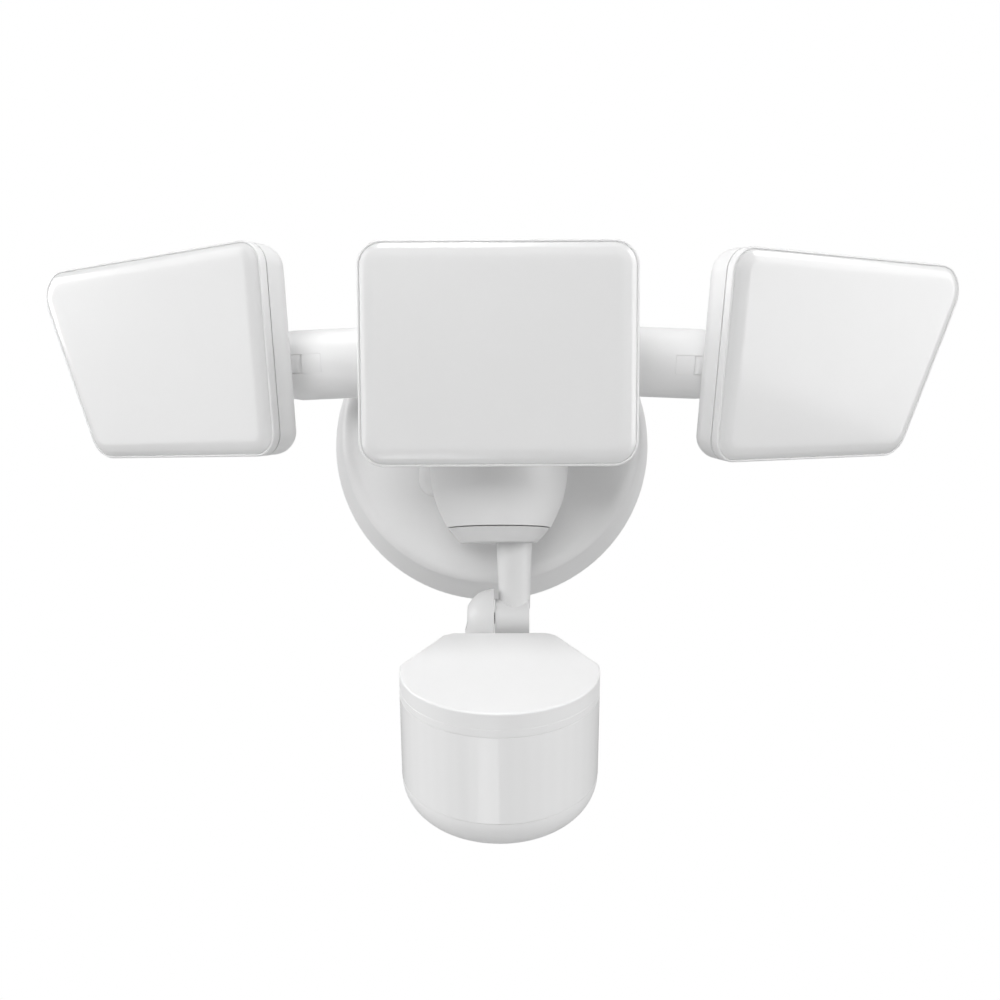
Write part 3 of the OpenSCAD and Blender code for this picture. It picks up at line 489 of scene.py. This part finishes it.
def frosted_covers():
    foot = SIDE_RISE - SIDE_H / 2
    head = SIDE_RISE + SIDE_H / 2
    outline = [
        (-SIDE_HINGE_U, foot), (-SIDE_HINGE_U + SIDE_BOTTOM, foot),
        (-SIDE_HINGE_U + SIDE_TOP, head), (-SIDE_HINGE_U, head),
    ]
    for side in ("left", "right"):
        frosted_cover(side, outline, SIDE_RADII, side_face(side))
    outline = [
        (-CENTER_W / 2, -CENTER_H / 2), (CENTER_W / 2, -CENTER_H / 2),
        (CENTER_W / 2, CENTER_H / 2), (-CENTER_W / 2, CENTER_H / 2),
    ]
    frosted_cover("center", outline, CENTER_RADII, CENTER_FACE)


def upright_section(section, angle, place):
    """A section of (radius, height) pairs standing at an angle round the place's z axis."""
    across, along = math.cos(angle), math.sin(angle)
    return [place @ point(r * across, r * along, z) for r, z in section]


def front_band(radius, low, top, soft):
    """An upright band round the sensor's front, with softened outer edges."""
    back = radius - LENS_T
    bend = soft * BEND_SHARE
    section = (
        (back, low), (radius - soft, low), (radius - bend, low + bend), (radius, low + soft),
        (radius, low + 2 * soft), (radius, top - 2 * soft), (radius, top - soft),
        (radius - bend, top - bend), (radius - soft, top), (back, top),
    )
    rings = []
    for k in range(WINDOW_STEPS + 1):
        angle = math.radians(WINDOW_START + WINDOW_SWEEP * k / WINDOW_STEPS - 90.0)
        rings.append(upright_section(section, angle, SENSOR_FRAME))
    return stack(rings)


def sensor_window():
    """The wrap-around lens down to the body's ledge, and the lid's skirt above it."""
    low, top = -WINDOW_Z + LENS_LOW_GAP, -SKIRT_LOW - LENS_TOP_GAP
    lens = front_band(SENSOR_R + LENS_PROUD, low, top, LENS_SOFT)
    window = piece("sensor_window", lens, "sensor_lens", "sensor_head", ROUND_HARD)
    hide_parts("sensor_lens")
    skirt = front_band(SENSOR_R + LENS_PROUD / 2, -SKIRT_LOW, -SKIRT_TOP, SKIRT_SOFT)
    piece("sensor_skirt", skirt, "white_plastic", "sensor_head", ROUND_HARD)


def slot_rows(half):
    return [half * (k / SLOT_HALF_ROWS - 1) for k in range(2 * SLOT_HALF_ROWS + 1)]


def arm_surface(z):
    """How far the arm's round surface lies from its middle plane at a height."""
    return math.sqrt((ARM_R - SURFACE_GAP) ** 2 - z * z)


def eye_reach(angle, z):
    """How far the tongue's eye reaches from the hinge, within the arm's surface and EYE_REACH."""
    if math.cos(angle) >= 0:
        return arm_surface(z)
    return min(EYE_REACH, arm_surface(z) / max(abs(math.sin(angle)), LEAST_SINE))


def tongue_eye(side):
    """The eye of a side head's tongue, which fills the arm's fork out to the arm's own surface."""
    half = FORK_SLOT_H / 2 - EYE_SLOT_GAP
    place = fork_frame(side)
    rings = []
    for k in range(EYE_STEPS):
        angle = math.tau * k / EYE_STEPS
        outside = [(eye_reach(angle, z), z) for z in slot_rows(half)]
        section = [(EYE_BORE, -half)] + outside + [(EYE_BORE, half)]
        rings.append(upright_section(section, angle, place))
    eye = stack(rings, looped=True)
    piece(f"{side}_tongue_eye", eye, "white_coat", f"{side}_head", ROUND_HARD)


def fork_floor(side):
    """The arm's own wall beside the fork's floor, hollowed round the eye's sweep."""
    clear = EYE_REACH + FLOOR_CLEAR
    start = math.acos(FORK_TIP / clear)
    place = fork_frame(side)
    rings = []
    for z in slot_rows(FORK_SLOT_H / 2 + FLOOR_OVERLAP):
        surface = arm_surface(z)
        ring = [(-FORK_BACK, -surface), (-FORK_TIP, -surface)]
        for i in range(2 * FLOOR_HALF_STEPS + 1):
            angle = math.pi + start * (1 - i / FLOOR_HALF_STEPS)
            ring.append((clear * math.cos(angle), clear * math.sin(angle)))
        ring += [(-FORK_TIP, surface), (-FORK_BACK, surface)]
        rings.append([place @ point(x, y, z) for x, y in ring])
    piece(f"{side}_fork_floor", stack(rings), "white_coat", f"{side}_arm_body", ROUND_HARD)


def side_joints():
    for side in ("left", "right"):
        tongue_eye(side)
        fork_floor(side)


def back_piece(name, rings, slot):
    """A detail on the driver's or the terminal block's back, facing the wall."""
    piece(name, stack(rings), slot, "base", DETAIL_HARD)


def back_plate(name, low, high, radius, y, thick, soft, slot):
    """A rounded plate from low to high (x, z) standing off the plane y towards the wall."""
    points = [low, (high[0], low[1]), high, (low[0], high[1])]
    bend = soft * BEND_SHARE
    rings = []
    for inset, depth in ((0, -SINK), (0, thick - soft), (bend, thick - bend), (soft, thick)):
        ring = rounded(points, (radius,) * 4, inset, PLATE_CORNER_STEPS)
        rings.append([point(q.x, y + depth, q.y) for q in ring])
    back_piece(name, rings, slot)


def level_arc(x, z, radius, angles, y):
    return [point(x + radius * math.cos(t), y, z + radius * math.sin(t)) for t in angles]


def back_screw(name, x, y, z, r, angle):
    """A slotted screw head: a disc, and two half discs on it with the slot between them."""
    disc_top = 0.6
    # Rings of a half disc: share of its radius, height over the plane y
    half_rings = ((1.0, 0.5), (1.0, 0.95), (0.9, 1.1))
    half_share = 0.96
    half_shift = 0.04 * r
    slot_edge = math.asin(0.22)
    full = [math.tau * k / SCREW_STEPS for k in range(SCREW_STEPS)]
    disc = [level_arc(x, z, r, full, depth) for depth in (y - SINK, y + disc_top)]
    back_piece(f"{name}_head", disc, "steel_fixing")
    for part, flip in (("a", 0.0), ("b", math.pi)):
        arc = [
            slot_edge + (math.pi - 2 * slot_edge) * k / SCREW_HALF_STEPS + flip + angle
            for k in range(SCREW_HALF_STEPS + 1)
        ]
        half_x = x - half_shift * math.sin(flip + angle)
        half_z = z + half_shift * math.cos(flip + angle)
        rings = [
            level_arc(half_x, half_z, size * r * half_share, arc, y + depth)
            for size, depth in half_rings
        ]
        back_piece(f"{name}_{part}", rings, "steel_fixing")


def driver_back():
    """The driver's lid with seven ribs and a screw in each corner."""
    back_plate("driver_lid", low=(-29.5, 19.5), high=(29.5, 40.5), radius=2.0, y=DRIVER_BACK,
               thick=DRIVER_LID_T, soft=0.3, slot="driver_case")
    ribs = 7
    pitch = 5.0
    for k in range(ribs):
        x = pitch * (k - (ribs - 1) / 2)
        back_plate(f"driver_rib_{k}", low=(x - 0.8, 23.0), high=(x + 0.8, 37.0), radius=0.7,
                   y=DRIVER_BACK + DRIVER_LID_T, thick=0.8, soft=0.25, slot="driver_case")
    for k, (x, z) in enumerate(((-26.3, 22.7), (26.3, 22.7), (-26.3, 37.3), (26.3, 37.3))):
        back_screw(f"driver_screw_{k}", x, DRIVER_BACK + DRIVER_LID_T, z, r=1.6, angle=0.7 * k)


def terminal_back():
    """The terminal block's three clamp screws, with a partition on each side of them."""
    screws = 3
    pitch = 12.4
    for k in range(screws + 1):
        x = -screws / 2 * pitch + pitch * k
        back_plate(f"terminal_wall_{k}", low=(x - 0.7, -33.6), high=(x + 0.7, -22.4), radius=0.3,
                   y=TERMINAL_BACK, thick=1.6, soft=0.25, slot="terminal_ivory")
    for k in range(screws):
        back_screw(f"terminal_screw_{k}", -pitch + pitch * k, TERMINAL_BACK, -28.0, r=2.3,
                   angle=0.4 + 0.9 * k)


# Camera, surroundings and lamps


def camera():
    """The camera at the photograph's place and angle."""
    data = bpy.data.cameras.new("camera")
    data.lens = CAMERA_LENS
    data.sensor_width = CAMERA_SENSOR
    data.clip_start = CAMERA_NEAR
    data.clip_end = CAMERA_FAR
    obj = bpy.data.objects.new("camera", data)
    bpy.context.scene.collection.objects.link(obj)
    look = turn("Z", CAMERA_YAW) @ turn("X", CAMERA_PITCH) @ turn("Y", CAMERA_ROLL)
    level = turn("X", 90)
    obj.matrix_world = move(*CAMERA_PLACE) @ look @ level
    bpy.context.scene.camera = obj


def surroundings():
    """A world that is white to the camera and dim to the light, brighter behind than before it."""
    world = bpy.data.worlds.new("studio")
    bpy.context.scene.world = world
    n = Nodes(world)
    n.tree.nodes.clear()
    split = n.add("ShaderNodeSeparateXYZ")
    n.join(n.add("ShaderNodeTexCoord").outputs["Generated"], split.inputs["Vector"])
    ramp = n.span(split.outputs["Y"], WORLD_FRONT_Y, WORLD_BACK_Y, WORLD_FRONT, WORLD_BACK,
                  curve="SMOOTHSTEP")
    lit = n.add("ShaderNodeBackground")
    n.join(ramp, lit.inputs["Strength"])
    shown = n.add("ShaderNodeBackground", Color=(1, 1, 1, 1))
    out = n.add("ShaderNodeOutputWorld")
    n.seen(lit.outputs["Background"], shown.outputs["Background"], out.inputs["Surface"])


def paper_floor():
    """A pale paper floor, white to the camera."""
    bpy.ops.mesh.primitive_circle_add(
        vertices=FLOOR_STEPS, radius=FLOOR_R, fill_type="NGON", location=(0, 0, FLOOR_Z))
    floor = bpy.context.object
    floor.name = "floor"
    n = material_nodes("floor_paper")
    n.tone(n.span(n.noise(scale=40.0), *MOST), grey(0.78), grey(0.8))
    n.set(Roughness=0.9)
    shown = n.add("ShaderNodeEmission")
    out = n.tree.nodes["Material Output"]
    n.seen(n.shader.outputs["BSDF"], shown.outputs["Emission"], out.inputs["Surface"])
    floor.data.materials.append(n.owner)


def lamp(name, place, target, size, power, diffuse=True, glossy=True):
    """An area lamp, which can be left out of the matt light or out of reflections."""
    data = bpy.data.lights.new(name, "AREA")
    data.shape = "RECTANGLE"
    data.size, data.size_y = size
    data.energy = power
    obj = bpy.data.objects.new(name, data)
    bpy.context.scene.collection.objects.link(obj)
    obj.visible_diffuse = diffuse
    obj.visible_glossy = glossy
    obj.location = place
    obj.rotation_euler = (Vector(target) - Vector(place)).to_track_quat("-Z", "Y").to_euler()


def lamps():
    """Name, place, target and size in metres, power in watts; the strips only show as gleams."""
    lamp("left_side", (-2.0, -0.5, 0.25), MIDDLE, (1.2, 1.4), 4.4)
    lamp("right_side", (2.0, -0.5, 0.25), MIDDLE, (1.2, 1.4), 12.8)
    lamp("front", (-0.25, -1.3, 0.35), MIDDLE, (0.6, 0.6), 6.4, glossy=False)
    lamp("top_front", (-0.2, -0.8, 1.3), MIDDLE, (0.45, 0.35), 4.8)
    lamp("left_top", (-1.6, -0.6, 1.2), MIDDLE, (0.7, 0.7), 2.4)
    lamp("right_top", (1.6, -0.6, 1.2), MIDDLE, (0.7, 0.7), 8.0)
    lamp("left_grazing", (-1.9, 0.15, 0.5), MIDDLE, (0.8, 0.8), 12.5)
    lamp("lens_strip", (-0.235, -0.869, -0.935), LENS_FACE, (0.4, 0.5), 1.35, diffuse=False)
    lamp("lens_strip_edge", (-0.53, -0.774, -0.908), LENS_FACE, (0.2, 0.5), 0.25, diffuse=False)
    lamp("top_strip", (-0.115, -0.25, 1.2), COVER_TOP, (0.19, 0.9), 7.0, diffuse=False)


paint_nodes()
frosted_covers()
sensor_window()
side_joints()
driver_back()
terminal_back()
camera()
surroundings()
paper_floor()
lamps()

view = bpy.context.scene.view_settings
view.view_transform = "Standard"
